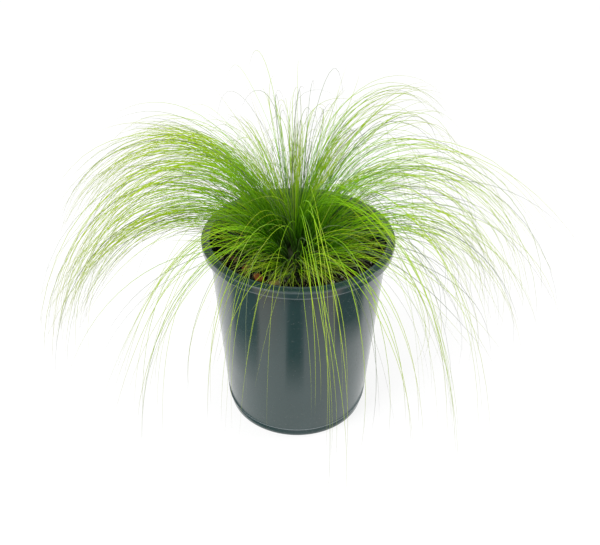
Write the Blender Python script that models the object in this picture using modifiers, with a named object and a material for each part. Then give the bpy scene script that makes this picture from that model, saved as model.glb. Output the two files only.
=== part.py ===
"""Potted feather grass: a tuft of fine arching leaves in a plastic nursery pot.

The origin is the middle of the pot's foot, on the surface it stands on.
+Z is up, and the side of the pot that faces a viewer is at -Y.
"""
import math

import bmesh
import bpy
import numpy as np

MM = 0.001
GAP = 0.3 * MM              # clearance between pieces that touch
MERGE = 0.00002             # merge distance of the turned profiles

# Pot: the height and the rim's width come first, the rest follows them
POT_HEIGHT = 150 * MM
RIM_RADIUS = 70 * MM
RIM_BAND = 6.5 * MM         # height of the band under the rim's edge
LEDGE_WIDTH = 6 * MM        # flat top of the rim
WALL = 1.2 * MM
TOP_RADIUS = 64.6 * MM      # outside of the body under the band
BOTTOM_RADIUS = 54.8 * MM   # outside of the body at its lower edge
FOOT_RADIUS = 53.2 * MM
FOOT_HEIGHT = 6.4 * MM
FOOT_RING = 3 * MM          # width of the ring that stands on the ground
FLOOR_TOP = 5 * MM
DRAIN_COUNT = 6
DRAIN_RADIUS = 4 * MM
DRAIN_CIRCLE = 36 * MM
POT_SIDES = 48

# Potting mix and bark
MIX_TOP = 134 * MM
BARK = [                    # name, middle (x, y), length, width, height, turn in degrees
    ("bark_chip_tan", (-15.5, -41.5), (8.0, 5.0, 3.2), 24),
    ("bark_chip_orange", (-27.5, -34.0), (9.0, 5.5, 3.0), 118),
    ("bark_chip_rust", (-36.5, -22.5), (7.5, 4.5, 2.8), 76),
    ("bark_chip_brown", (-46.5, -11.0), (8.5, 4.0, 2.6), 140),
    ("bark_chip_dark", (35.0, -36.0), (9.0, 5.0, 2.8), 35),
]

# Grass: the crown that the leaves grow from, and the rings of leaf locks on it
CROWN_X = -2 * MM
CROWN_Y = -7 * MM
CROWN_RADIUS = 31 * MM
CROWN_RISE = 12 * MM
CROWN_SIDES = 32
LOCK_POINTS = 11
LOCK_STEPS = 8              # steps of the leaf's path between two points of its curve
LOCK_TURN = 7               # largest sideways turn of a lock, in degrees
LOCK_RINGS = [
    {"name": "top", "count": 6, "root_radius": 5.6, "lift": 84, "length": 126, "bend": 52,
     "first": 20, "thickness": (2.1, 3.2, 0.7)},
    {"name": "upper", "count": 13, "root_radius": 12.8, "lift": 74, "length": 230, "bend": 150,
     "first": 5, "thickness": (2.2, 4.0, 0.7)},
    {"name": "middle", "count": 15, "root_radius": 20.6, "lift": 61, "length": 218, "bend": 140,
     "first": 11, "thickness": (2.3, 4.0, 0.7)},
    {"name": "outer", "count": 16, "root_radius": 28.0, "lift": 47, "length": 176, "bend": 124,
     "first": 0, "thickness": (2.3, 3.6, 0.7)},
]
# Reach of the leaves every 45 degrees, counter-clockwise from the right-hand side
SIDE_REACH = (0.98, 1.02, 1.01, 0.98, 0.97, 0.98, 0.89, 0.96)

# Colour, roughness
PLASTIC = ((0.09, 0.115, 0.13), 0.25)
MIX_BROWN = ((0.022, 0.014, 0.009), 0.95)
CROWN_GREEN = ((0.05, 0.12, 0.015), 0.6)
LEAF_GREEN = ((0.27, 0.48, 0.035), 0.45)
BARK_COLOURS = {
    "bark_chip_tan": (0.42, 0.27, 0.13),
    "bark_chip_orange": (0.36, 0.13, 0.04),
    "bark_chip_rust": (0.30, 0.12, 0.05),
    "bark_chip_brown": (0.10, 0.05, 0.025),
    "bark_chip_dark": (0.05, 0.03, 0.02),
}


def clear_scene():
    for item in list(bpy.data.objects):
        bpy.data.objects.remove(item, do_unlink=True)


def new_collection(name):
    collection = bpy.data.collections.new(name)
    bpy.context.scene.collection.children.link(collection)
    return collection


def new_material(name, colour, roughness):
    material = bpy.data.materials.new(name)
    material.use_nodes = True
    shader = material.node_tree.nodes["Principled BSDF"]
    shader.inputs["Base Color"].default_value = (*colour, 1.0)
    shader.inputs["Roughness"].default_value = roughness
    shader.inputs["Metallic"].default_value = 0.0
    material.diffuse_color = (*colour, 1.0)
    return material


def turned(name, profile, sides, collection, material):
    """A profile of (radius, height) points, turned round Z; it runs down its outer side."""
    mesh = bpy.data.meshes.new(name)
    points = [(radius, 0.0, height) for radius, height in profile]
    edges = [(i, i + 1) for i in range(len(points) - 1)]
    mesh.from_pydata(points, edges, [])
    item = bpy.data.objects.new(name, mesh)
    collection.objects.link(item)
    screw = item.modifiers.new("turn", "SCREW")
    screw.axis = "Z"
    screw.steps = sides
    screw.render_steps = sides
    screw.use_merge_vertices = True
    screw.merge_threshold = MERGE
    screw.use_smooth_shade = True
    mesh.materials.append(material)
    return item


def body_radius(height):
    """Outside radius of the pot's tapered wall at a height."""
    low = FOOT_HEIGHT
    high = POT_HEIGHT - RIM_BAND
    part = (height - low) / (high - low)
    return BOTTOM_RADIUS + (TOP_RADIUS - BOTTOM_RADIUS) * part


def pot_profile():
    """The wall's whole outline: up the inside, over the rim, down the outside, in under the foot."""
    corner = 1.3 * MM
    ledge_in = RIM_RADIUS - LEDGE_WIDTH
    band_low = POT_HEIGHT - RIM_BAND
    flange_under = POT_HEIGHT - 1.6 * MM
    inside_low = body_radius(FOOT_HEIGHT) - WALL
    return [
        (0.0, FLOOR_TOP),
        (inside_low - corner, FLOOR_TOP),
        (inside_low, FLOOR_TOP + corner),
        (ledge_in - 0.6 * MM, POT_HEIGHT - 1.4 * MM),
        (ledge_in - 0.1 * MM, POT_HEIGHT - 0.3 * MM),
        (ledge_in + 0.7 * MM, POT_HEIGHT),
        (RIM_RADIUS - 0.8 * MM, POT_HEIGHT - 0.2 * MM),
        (RIM_RADIUS - 0.1 * MM, POT_HEIGHT - 0.8 * MM),
        (RIM_RADIUS - 0.4 * MM, band_low),
        (RIM_RADIUS - 0.4 * MM - WALL, band_low),
        (RIM_RADIUS - 0.1 * MM - WALL, flange_under),
        (body_radius(flange_under), flange_under),
        (BOTTOM_RADIUS + 0.1 * MM, FOOT_HEIGHT + 0.9 * MM),
        (BOTTOM_RADIUS - 0.6 * MM, FOOT_HEIGHT),
        (FOOT_RADIUS + 0.4 * MM, FOOT_HEIGHT - 0.4 * MM),
        (FOOT_RADIUS, 0.0),
        (FOOT_RADIUS - FOOT_RING, 0.0),
        (FOOT_RADIUS - FOOT_RING - 0.3 * MM, FLOOR_TOP - 1.6 * MM),
        (0.0, FLOOR_TOP - 1.6 * MM),
    ]


def make_pot(parts, cutters):
    """A turned plastic pot with a turned-down rim, a standing ring and drain holes in its floor."""
    material = new_material("pot_plastic", *PLASTIC)
    pot = turned("pot", pot_profile(), POT_SIDES, parts, material)
    drains = bpy.data.meshes.new("drain_holes")
    holes = bmesh.new()
    for index in range(DRAIN_COUNT):
        before = set(holes.verts)
        bmesh.ops.create_cone(
            holes, cap_ends=True, segments=12, radius1=DRAIN_RADIUS, radius2=DRAIN_RADIUS,
            depth=4 * FLOOR_TOP)
        angle = 2 * math.pi * (index + 0.5) / DRAIN_COUNT
        offset = (DRAIN_CIRCLE * math.cos(angle), DRAIN_CIRCLE * math.sin(angle), FLOOR_TOP)
        fresh = [vertex for vertex in holes.verts if vertex not in before]
        bmesh.ops.translate(holes, verts=fresh, vec=offset)
    holes.to_mesh(drains)
    holes.free()
    cutter = bpy.data.objects.new("drain_holes", drains)
    cutter.hide_render = True
    cutter.display_type = "WIRE"
    cutters.objects.link(cutter)
    cut = pot.modifiers.new("drains", "BOOLEAN")
    cut.operation = "DIFFERENCE"
    cut.object = cutter
    return pot


def make_potting_mix(parts):
    """The mix that fills the pot to MIX_TOP, a gap clear of the wall and the floor."""
    corner = 1.3 * MM
    clear = GAP + 0.1 * MM
    low = body_radius(FOOT_HEIGHT) - WALL - clear
    high = body_radius(MIX_TOP) - WALL - 2 * clear
    profile = [
        (0.0, MIX_TOP),
        (high, MIX_TOP),
        (low - 0.1 * MM, FLOOR_TOP + corner + clear),
        (low - corner, FLOOR_TOP + clear),
        (0.0, FLOOR_TOP + clear),
    ]
    material = new_material("potting_mix", *MIX_BROWN)
    return turned("potting_mix", profile, POT_SIDES, parts, material)


def make_bark(parts, name, middle, size, turn):
    """A flat flake of bark lying on the potting mix."""
    length, width, height = [value * MM for value in size]
    bpy.ops.mesh.primitive_cube_add(size=1.0, location=(0.0, 0.0, 0.0))
    chip = bpy.context.active_object
    chip.name = name
    chip.data.name = name
    for collection in list(chip.users_collection):
        collection.objects.unlink(chip)
    parts.objects.link(chip)
    for vertex in chip.data.vertices:
        taper = 0.72 if vertex.co.z > 0 else 1.0
        skew = 0.85 if vertex.co.x > 0 else 1.0
        vertex.co = (vertex.co.x * length * taper, vertex.co.y * width * taper * skew,
                     vertex.co.z * height)
    chip.location = (middle[0] * MM, middle[1] * MM, MIX_TOP + height / 2 + GAP)
    chip.rotation_euler = (0.0, 0.0, math.radians(turn))
    bevel = chip.modifiers.new("worn_edges", "BEVEL")
    bevel.width = 0.5 * MM
    bevel.segments = 1
    chip.data.materials.append(new_material(name, BARK_COLOURS[name], 0.85))
    return chip


def crown_height(radius):
    """Height of the crown's dome at a radius from its middle."""
    return MIX_TOP + GAP + CROWN_RISE * (1 - (radius / CROWN_RADIUS) ** 2)


def make_crown(parts):
    """The low dome of leaf bases in the middle of the pot."""
    radii = [CROWN_RADIUS * share for share in (0.0, 0.25, 0.5, 0.7, 0.86, 0.97)]
    profile = [(radius, crown_height(radius)) for radius in radii]
    profile.append((CROWN_RADIUS * 0.97, MIX_TOP + GAP))
    profile.append((0.0, MIX_TOP + GAP))
    crown = turned("crown", profile, CROWN_SIDES, parts, new_material("crown", *CROWN_GREEN))
    crown.location = (CROWN_X, CROWN_Y, 0.0)
    return crown


def wobble(number, channel):
    """A repeatable variation from -1 to 1 for a lock's number."""
    return math.sin(number * (2.1 + 2.3 * channel) + 1.2 * channel)


def side_reach(azimuth):
    """SIDE_REACH between its eight directions, blended with half a cosine wave."""
    place = (azimuth % 360) / 45
    low = int(place) % 8
    blend = 0.5 - 0.5 * math.cos(math.pi * (place - int(place)))
    return SIDE_REACH[low] * (1 - blend) + SIDE_REACH[(low + 1) % 8] * blend


def lock_path(azimuth, root_radius, lift, length, bend, turn, thickness):
    """Points and radii of one lock: its slope starts at lift and falls by bend along its length.

    The slope falls slowly at the root and the tip and fastest in between. The
    root stands a gap off the crown's dome, which the lock leaves nearly square.
    """
    steps = (LOCK_POINTS - 1) * LOCK_STEPS
    along = np.linspace(0.0, 1.0, steps + 1)
    fall = 0.5 * along + 0.5 * along * along * (3 - 2 * along)
    slope = np.radians(lift - bend * fall)
    heading = np.radians(azimuth + turn * along)
    way = np.stack([np.cos(slope) * np.cos(heading),
                    np.cos(slope) * np.sin(heading),
                    np.sin(slope)], axis=1)
    moves = 0.5 * (way[1:] + way[:-1]) * length / steps
    dome_slope = math.atan(2 * CROWN_RISE * root_radius / CROWN_RADIUS ** 2)
    tilt = abs(math.radians(lift) - (math.pi / 2 - dome_slope))
    start = np.array([CROWN_X + root_radius * math.cos(math.radians(azimuth)),
                      CROWN_Y + root_radius * math.sin(math.radians(azimuth)),
                      crown_height(root_radius)])
    start = start + way[0] * (GAP + thickness[0] * math.tan(tilt))
    points = np.vstack([start, start + np.cumsum(moves, axis=0)])[::LOCK_STEPS]
    root, middle, tip = thickness
    share = np.linspace(0.0, 1.0, LOCK_POINTS)
    radii = root + (tip - root) * share ** 1.5
    radii = radii + (middle - 0.5 * (root + tip)) * np.sin(np.pi * share) ** 1.2
    return points, radii


def make_lock(parts, name, points, radii, material):
    """One lock of leaves as a tapered tube along its path."""
    curve = bpy.data.curves.new(name, "CURVE")
    curve.dimensions = "3D"
    curve.bevel_depth = 1.0
    curve.bevel_resolution = 1
    curve.use_fill_caps = True
    spline = curve.splines.new("POLY")
    spline.points.add(len(points) - 1)
    for target, point, radius in zip(spline.points, points, radii):
        target.co = (*point, 1.0)
        target.radius = radius
    curve.materials.append(material)
    lock = bpy.data.objects.new(name, curve)
    parts.objects.link(lock)
    return lock


def make_locks(parts):
    """Four rings of leaf locks, nested so that the inner ones stand taller and arch over the outer."""
    material = new_material("feather_grass_leaves", *LEAF_GREEN)
    number = 0
    for ring in LOCK_RINGS:
        spacing = 360 / ring["count"]
        thickness = [value * MM for value in ring["thickness"]]
        for index in range(ring["count"]):
            number += 1
            azimuth = ring["first"] + spacing * (index + 0.1 * wobble(number, 1))
            lift = ring["lift"] + 2.5 * wobble(number, 2)
            length = ring["length"] * MM * side_reach(azimuth) * (1 + 0.05 * wobble(number, 3))
            bend = ring["bend"] + 5 * wobble(number, 4)
            turn = LOCK_TURN * wobble(number, 5)
            points, radii = lock_path(
                azimuth, ring["root_radius"] * MM, lift, length, bend, turn, thickness)
            name = f"leaf_lock_{ring['name']}_{index + 1:02d}"
            make_lock(parts, name, points, radii, material)


def main():
    clear_scene()
    parts = new_collection("potted_feather_grass")
    cutters = new_collection("cutters")
    make_pot(parts, cutters)
    make_potting_mix(parts)
    for name, middle, size, turn in BARK:
        make_bark(parts, name, middle, size, turn)
    make_crown(parts)
    make_locks(parts)


main()
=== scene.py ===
import math

import bpy
import numpy as np
from mathutils import Matrix, Vector


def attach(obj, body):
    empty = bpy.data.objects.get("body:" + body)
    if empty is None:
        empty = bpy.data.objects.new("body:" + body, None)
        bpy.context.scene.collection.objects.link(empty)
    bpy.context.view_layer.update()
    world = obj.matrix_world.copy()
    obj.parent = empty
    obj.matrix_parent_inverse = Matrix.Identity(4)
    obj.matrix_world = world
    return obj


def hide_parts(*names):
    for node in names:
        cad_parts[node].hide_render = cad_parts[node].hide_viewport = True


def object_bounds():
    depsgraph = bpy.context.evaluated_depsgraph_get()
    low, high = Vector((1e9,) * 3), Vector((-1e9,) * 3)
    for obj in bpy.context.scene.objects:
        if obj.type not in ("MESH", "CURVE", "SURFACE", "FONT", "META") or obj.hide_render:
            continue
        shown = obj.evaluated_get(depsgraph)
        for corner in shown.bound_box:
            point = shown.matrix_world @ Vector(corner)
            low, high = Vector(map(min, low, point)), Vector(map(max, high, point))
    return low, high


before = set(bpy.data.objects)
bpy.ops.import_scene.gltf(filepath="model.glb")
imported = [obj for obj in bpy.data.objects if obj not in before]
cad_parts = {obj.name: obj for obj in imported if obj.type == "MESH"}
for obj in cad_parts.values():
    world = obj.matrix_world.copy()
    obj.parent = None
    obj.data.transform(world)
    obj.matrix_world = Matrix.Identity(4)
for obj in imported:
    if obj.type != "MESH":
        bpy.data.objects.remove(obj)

# Potted feather grass: a tuft of thread-like leaves in a glossy plastic pot.
# Lengths are in metres, written in millimetres times mm, and angles in degrees.
mm = 0.001
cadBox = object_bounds()
bakeMap = "OFBake"       # the map that a piece's colours lie on, also for a bake


# Mesh helpers

# A mesh object from points and sets of faces, each set a whole-number array of
# faces x corners. uv holds one pair for each face corner, in the faces' order.
def meshObject(name, points, faceSets, uv=None, slots=None):
    mesh = bpy.data.meshes.new(name)
    mesh.vertices.add(len(points))
    mesh.vertices.foreach_set("co", np.asarray(points, np.float32).ravel())
    corners = np.concatenate([faces.ravel() for faces in faceSets])
    sizes = np.concatenate([np.full(len(faces), faces.shape[1]) for faces in faceSets])
    starts = np.concatenate([[0], np.cumsum(sizes)[:-1]])
    mesh.loops.add(len(corners))
    mesh.loops.foreach_set("vertex_index", corners.astype(np.int32))
    mesh.polygons.add(len(sizes))
    mesh.polygons.foreach_set("loop_start", starts.astype(np.int32))
    if slots is not None:
        mesh.polygons.foreach_set("material_index", slots.astype(np.int32))
    mesh.update(calc_edges=True)
    if uv is not None:
        layer = mesh.uv_layers.new(name=bakeMap)
        layer.uv.foreach_set("vector", np.asarray(uv, np.float32).ravel())
    mesh.shade_smooth()
    piece = bpy.data.objects.new(name, mesh)
    bpy.context.scene.collection.objects.link(piece)
    return piece


# Six times the volume inside triangles: positive where the faces point outwards.
def signedVolume(points, triangles):
    a, b, c = [points[triangles[:, k]] for k in range(3)]
    return np.einsum("ij,ij->i", a, np.cross(b, c)).sum()


# A grid of rows x columns points that wraps round its columns, closed at both ends
# by a point of its own. Gives points, quads, triangles and the corners' uv, where u
# runs round and v along. The faces are turned to point outwards.
def closedGrid(grid, first, last):
    rows, columns = grid.shape[:2]
    points = np.vstack([grid.reshape(-1, 3), [first], [last]])
    row, column = np.meshgrid(np.arange(rows - 1), np.arange(columns), indexing="ij")
    row, column = row.ravel(), column.ravel()
    following = (column + 1) % columns
    quads = np.stack([row * columns + column, row * columns + following,
                      (row + 1) * columns + following, (row + 1) * columns + column], 1)
    u0, u1 = column / columns, (column + 1) / columns
    v0, v1 = row / (rows - 1), (row + 1) / (rows - 1)
    quadUv = np.stack([u0, v0, u1, v0, u1, v1, u0, v1], 1).reshape(-1, 2)
    ring = np.arange(columns)
    nextOne = (ring + 1) % columns
    low = np.stack([nextOne, ring, np.full(columns, rows * columns)], 1)
    high = np.stack([ring, nextOne, np.full(columns, rows * columns + 1)], 1)
    high[:, :2] += (rows - 1) * columns
    r0, r1 = ring / columns, (ring + 1) / columns
    none, whole = np.zeros(columns), np.ones(columns)
    lowUv = np.stack([r1, none, r0, none, (r0 + r1) / 2, none], 1).reshape(-1, 2)
    highUv = np.stack([r0, whole, r1, whole, (r0 + r1) / 2, whole], 1).reshape(-1, 2)
    triangles = np.vstack([low, high])
    triangleUv = np.vstack([lowUv, highUv])
    middle = points.mean(0)
    allTriangles = np.vstack([quads[:, [0, 1, 2]], quads[:, [0, 2, 3]], triangles])
    if signedVolume(points - middle, allTriangles) < 0:
        quads, triangles = quads[:, ::-1], triangles[:, ::-1]
        quadUv = quadUv.reshape(-1, 4, 2)[:, ::-1].reshape(-1, 2)
        triangleUv = triangleUv.reshape(-1, 3, 2)[:, ::-1].reshape(-1, 2)
    return points, quads, triangles, quadUv, triangleUv


# A profile of (radius, height) pairs, turned round the axis at (x, y): the point at
# turn a is (x + radius cos a, y + radius sin a, height). Both ends lie on the axis.
def turnedGrid(profile, columns, x=0.0, y=0.0):
    angle = np.arange(columns) * 2 * np.pi / columns
    radius, height = profile[1:-1, 0], profile[1:-1, 1]
    grid = np.stack([x + radius[:, None] * np.cos(angle), y + radius[:, None] * np.sin(angle),
                     np.repeat(height[:, None], columns, 1)], 2)
    return closedGrid(grid, (x, y, profile[0, 1]), (x, y, profile[-1, 1]))


# Each inner corner of an outline replaced by an arc-like curve that starts and ends
# one reach away from it, or at half its shorter side: the weights of start, corner
# and end are (1-t)^2, 2t(1-t) and t^2.
def softened(outline, reach, steps=6):
    before, corner, after = outline[:-2], outline[1:-1], outline[2:]
    back, onward = before - corner, after - corner
    backLength = np.linalg.norm(back, axis=1, keepdims=True)
    onwardLength = np.linalg.norm(onward, axis=1, keepdims=True)
    run = np.minimum(reach, 0.48 * np.minimum(backLength, onwardLength))
    start, end = corner + back / backLength * run, corner + onward / onwardLength * run
    t = np.linspace(0, 1, steps)[None, :, None]
    arcs = start[:, None] * (1 - t) ** 2 + 2 * corner[:, None] * t * (1 - t) + end[:, None] * t ** 2
    return np.vstack([outline[:1], arcs.reshape(-1, 2), outline[-1:]])


# Soft noise at points, from -1 to 1: the mean of sine waves in random directions,
# one wave to each size of lump, scaled up by the root of their number.
def softNoise(points, size, seed, waves=14):
    rng = np.random.default_rng(seed)
    direction = rng.normal(size=(waves, 3))
    direction /= np.linalg.norm(direction, axis=1, keepdims=True)
    pitch = 2 * np.pi / size * rng.uniform(0.7, 1.4, waves)
    phase = rng.uniform(0, 2 * np.pi, waves)
    total = np.sin(points @ (direction * pitch[:, None]).T + phase).sum(-1)
    return np.clip(total / math.sqrt(waves), -1.6, 1.6) / 1.6


# Material helpers

def newMaterial(name):
    material = bpy.data.materials.new(name)
    material.use_nodes = True
    tree = material.node_tree
    return material, tree, tree.nodes["Principled BSDF"]


# A node whose named inputs are set, or linked where a socket is given.
def addNode(tree, kind, inputs=None, **settings):
    node = tree.nodes.new(kind)
    for key, value in settings.items():
        setattr(node, key, value)
    for key, value in (inputs or {}).items():
        if isinstance(value, bpy.types.NodeSocket):
            tree.links.new(value, node.inputs[key])
        else:
            node.inputs[key].default_value = value
    return node


def addRamp(tree, factor, stops):
    ramp = addNode(tree, "ShaderNodeValToRGB", {"Fac": factor})
    elements = ramp.color_ramp.elements
    while len(elements) < len(stops):
        elements.new(0.5)
    for element, (place, colour) in zip(elements, stops):
        element.position = place
        element.color = (*colour, 1.0)
    return ramp.outputs["Color"]


def addMix(tree, factor, first, second, blend="MIX"):
    mix = tree.nodes.new("ShaderNodeMix")
    mix.data_type = "RGBA"
    mix.blend_type = blend
    for socket, value in zip((mix.inputs[0], mix.inputs[6], mix.inputs[7]), (factor, first, second)):
        if isinstance(value, bpy.types.NodeSocket):
            tree.links.new(value, socket)
        else:
            socket.default_value = value if isinstance(value, float) else (*value, 1.0)
    return mix.outputs[2]


def newGroup(name, inputs, outputs):
    group = bpy.data.node_groups.new(name, "ShaderNodeTree")
    for socketName, kind, value in inputs:
        socket = group.interface.new_socket(socketName, in_out="INPUT", socket_type=kind)
        if value is not None:
            socket.default_value = value
    for socketName, kind in outputs:
        group.interface.new_socket(socketName, in_out="OUTPUT", socket_type=kind)
    return group, group.nodes.new("NodeGroupInput"), group.nodes.new("NodeGroupOutput")


# Mottle: cloudy patches from 0 to 1, a noise stretched so that Low to High fills the range.
def makeMottle():
    group, inside, outside = newGroup(
        "mottle",
        [("Vector", "NodeSocketVector", None), ("Scale", "NodeSocketFloat", 40.0),
         ("Detail", "NodeSocketFloat", 3.0), ("Low", "NodeSocketFloat", 0.35),
         ("High", "NodeSocketFloat", 0.65)],
        [("Mask", "NodeSocketFloat")])
    noise = addNode(group, "ShaderNodeTexNoise", {
        "Vector": inside.outputs["Vector"], "Scale": inside.outputs["Scale"],
        "Detail": inside.outputs["Detail"]})
    spread = addNode(group, "ShaderNodeMapRange", {
        "Value": noise.outputs["Fac"], "From Min": inside.outputs["Low"],
        "From Max": inside.outputs["High"]})
    group.links.new(spread.outputs["Result"], outside.inputs["Mask"])
    return group


# Grain: fibres along one way of the coordinates, a noise on a stretched vector.
def makeGrain():
    group, inside, outside = newGroup(
        "grain",
        [("Vector", "NodeSocketVector", None), ("Stretch", "NodeSocketVector", (1.0, 8.0, 8.0)),
         ("Scale", "NodeSocketFloat", 20.0), ("Contrast", "NodeSocketFloat", 1.0)],
        [("Height", "NodeSocketFloat")])
    stretched = addNode(group, "ShaderNodeVectorMath", {
        0: inside.outputs["Vector"], 1: inside.outputs["Stretch"]}, operation="MULTIPLY")
    noise = addNode(group, "ShaderNodeTexNoise", {
        "Vector": stretched.outputs["Vector"], "Scale": inside.outputs["Scale"], "Detail": 4.0})
    around = addNode(group, "ShaderNodeMath", {0: noise.outputs["Fac"], 1: 0.5}, operation="SUBTRACT")
    scaled = addNode(group, "ShaderNodeMath", {0: around.outputs[0], 1: inside.outputs["Contrast"]},
                     operation="MULTIPLY")
    back = addNode(group, "ShaderNodeMath", {0: scaled.outputs[0], 1: 0.5}, operation="ADD",
                   use_clamp=True)
    group.links.new(back.outputs[0], outside.inputs["Height"])
    return group


mottleGroup = makeMottle()
grainGroup = makeGrain()


def addGroup(tree, group, inputs):
    node = tree.nodes.new("ShaderNodeGroup")
    node.node_tree = group
    for key, value in inputs.items():
        if isinstance(value, bpy.types.NodeSocket):
            tree.links.new(value, node.inputs[key])
        else:
            node.inputs[key].default_value = value
    return node.outputs[0]


def addBump(tree, shader, height, strength, distance):
    bump = addNode(tree, "ShaderNodeBump", {"Height": height, "Strength": strength, "Distance": distance})
    tree.links.new(bump.outputs["Normal"], shader.inputs["Normal"])


def objectPlace(tree):
    return tree.nodes.new("ShaderNodeTexCoord").outputs["Object"]


# Camera, floor and light

cameraSet = {
    "place": (0.0, -500.3 * mm, 468.6 * mm),
    "pitch": 35.13,      # down
    "yaw": 0.18,         # to the right
    "roll": 0.77,        # the right-hand side up
    "lens": 49.31,
    "sensor": 36.0,
}


# The camera looks along its own -Z: forward is (sin yaw cos pitch, cos yaw cos pitch,
# -sin pitch), and right and up are turned about it by the roll.
def makeCamera():
    pitch, yaw, roll = [math.radians(cameraSet[key]) for key in ("pitch", "yaw", "roll")]
    forward = Vector((math.sin(yaw) * math.cos(pitch), math.cos(yaw) * math.cos(pitch), -math.sin(pitch)))
    flatRight = Vector((math.cos(yaw), -math.sin(yaw), 0.0))
    flatUp = flatRight.cross(forward)
    right = flatRight * math.cos(roll) + flatUp * math.sin(roll)
    up = flatUp * math.cos(roll) - flatRight * math.sin(roll)
    data = bpy.data.cameras.new("camera")
    data.lens = cameraSet["lens"]
    data.sensor_width = cameraSet["sensor"]
    camera = bpy.data.objects.new("camera", data)
    turn = Matrix((right, up, -forward)).transposed().to_4x4()
    camera.matrix_world = Matrix.Translation(cameraSet["place"]) @ turn
    bpy.context.scene.collection.objects.link(camera)
    bpy.context.scene.camera = camera


lightSet = {
    "world": 0.90,
    "panels": [          # name, place, aim, size (m), watts
        ("keyPanel", (-0.75, -0.55, 1.15), (0.0, 0.0, 0.15), 0.7, 13.0),
        ("sidePanel", (0.95, 0.15, 0.95), (0.0, 0.0, 0.12), 0.6, 5.0),
    ],
}


def makeLights():
    world = bpy.data.worlds.new("studio")
    world.use_nodes = True
    background = world.node_tree.nodes["Background"]
    background.inputs["Color"].default_value = (1.0, 1.0, 1.0, 1.0)
    background.inputs["Strength"].default_value = lightSet["world"]
    bpy.context.scene.world = world
    for name, place, aim, size, watts in lightSet["panels"]:
        data = bpy.data.lights.new(name, "AREA")
        data.shape = "SQUARE"
        data.size = size
        data.energy = watts
        panel = bpy.data.objects.new(name, data)
        panel.location = place
        panel.rotation_euler = (Vector(aim) - Vector(place)).to_track_quat("-Z", "Y").to_euler()
        bpy.context.scene.collection.objects.link(panel)


# The floor is a white sheet lit from below too, so that it holds hardly any shadow and
# ends just over white. Thin leaves would vanish against a brighter one.
floorSet = {"half": 4.0, "colour": (0.22, 0.22, 0.22), "glow": 0.76}


def makeFloor():
    half = floorSet["half"]
    corners = np.array([(-half, -half, 0), (half, -half, 0), (half, half, 0), (-half, half, 0)])
    floor = meshObject("floor", corners, [np.array([[0, 1, 2, 3]])])
    material, tree, shader = newMaterial("floor")
    place = objectPlace(tree)
    patch = addGroup(tree, mottleGroup, {"Vector": place, "Scale": 3.0})
    paler = tuple(min(1.0, value * 1.02) for value in floorSet["colour"])
    tree.links.new(addMix(tree, patch, floorSet["colour"], paler), shader.inputs["Base Color"])
    shader.inputs["Roughness"].default_value = 0.9
    shader.inputs["Specular IOR Level"].default_value = 0.1
    shader.inputs["Emission Color"].default_value = (1.0, 1.0, 1.0, 1.0)
    shader.inputs["Emission Strength"].default_value = floorSet["glow"]
    floor.data.materials.append(material)


# Painted reflections: what the glossy pot mirrors are glowing flat sheets just over the
# floor in front of it and two glowing upright cards, which only reflections show. Each
# sheet is a part of a ring, with its turns in degrees from the front to the right, its
# radii, and its colours over the turn, as places from 0 to 1. It fades to white between the
# radii of its fade. The cards are a dark one behind the pot and a small bright one at the
# back on the right, meant for a painted glint on the rim.
sheetWhite = (1.05, 1.05, 1.05)
mirroredSet = {
    "sheets": [
        {"name": "middle", "height": 1.5 * mm, "turn": (-13, 8), "radius": (84 * mm, 420 * mm),
         "fade": (90 * mm, 126 * mm),
         "colours": [(0.00, (0.45, 0.47, 0.50)), (0.16, (0.02, 0.05, 0.05)), (0.78, (0.02, 0.05, 0.05)),
                     (1.00, (0.36, 0.38, 0.42))]},
        {"name": "warmLeft", "height": 1.5 * mm, "turn": (-46, -13), "radius": (112 * mm, 420 * mm),
         "fade": (118 * mm, 190 * mm),
         "colours": [(0.00, (0.92, 0.66, 0.58)), (0.55, (0.84, 0.62, 0.52)), (1.00, (0.45, 0.45, 0.45))]},
        {"name": "warmRight", "height": 1.5 * mm, "turn": (8, 46), "radius": (112 * mm, 420 * mm),
         "fade": (118 * mm, 190 * mm),
         "colours": [(0.00, (0.38, 0.40, 0.44)), (0.45, (0.80, 0.60, 0.52)), (1.00, (0.92, 0.68, 0.60))]},
        {"name": "left", "height": 1.5 * mm, "turn": (-92, -46), "radius": (80 * mm, 420 * mm),
         "fade": (88 * mm, 138 * mm),
         "colours": [(0.00, (1.05, 1.05, 1.05)), (0.22, (0.14, 0.20, 0.20)), (0.90, (0.03, 0.07, 0.07)),
                     (1.00, (0.6, 0.45, 0.4))]},
        {"name": "right", "height": 1.5 * mm, "turn": (46, 92), "radius": (116 * mm, 420 * mm),
         "fade": (122 * mm, 150 * mm),
         "colours": [(0.00, (0.5, 0.4, 0.36)), (0.12, (0.05, 0.09, 0.09)), (0.80, (0.06, 0.10, 0.10)),
                     (1.00, (1.05, 1.05, 1.05))]},
        # the foot sheet: a dark ring on the floor just round the pot's foot, which the foot mirrors: painted
        # shade at the foot
        {"name": "foot", "height": 0.3 * mm, "turn": (-120, 120), "radius": (54.5 * mm, 60 * mm),
         "fade": (52 * mm, 53 * mm),
         "colours": [(0.00, (0.05, 0.06, 0.07)), (0.38, (0.12, 0.15, 0.16)), (0.50, (0.45, 0.47, 0.48)),
                     (0.64, (0.40, 0.43, 0.44)), (1.00, (0.16, 0.19, 0.20))]},
    ],
    # upright cards: middle, width, height and turn about their own middle
    "cards": [
        {"name": "flag", "middle": (0.0, 0.33, 0.50), "size": (0.36, 0.20), "turn": 0,
         "colour": (0.01, 0.02, 0.02), "strength": 1.0},
        {"name": "glint", "middle": (0.73, 0.61, 0.43), "size": (0.20, 0.20), "turn": -50,
         "colour": (1.0, 1.0, 1.0), "strength": 9.0},
    ],
}


# Seen by nothing but reflections.
def onlyMirrored(item):
    item.visible_camera = False
    item.visible_diffuse = False
    item.visible_shadow = False
    item.visible_transmission = False


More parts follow.
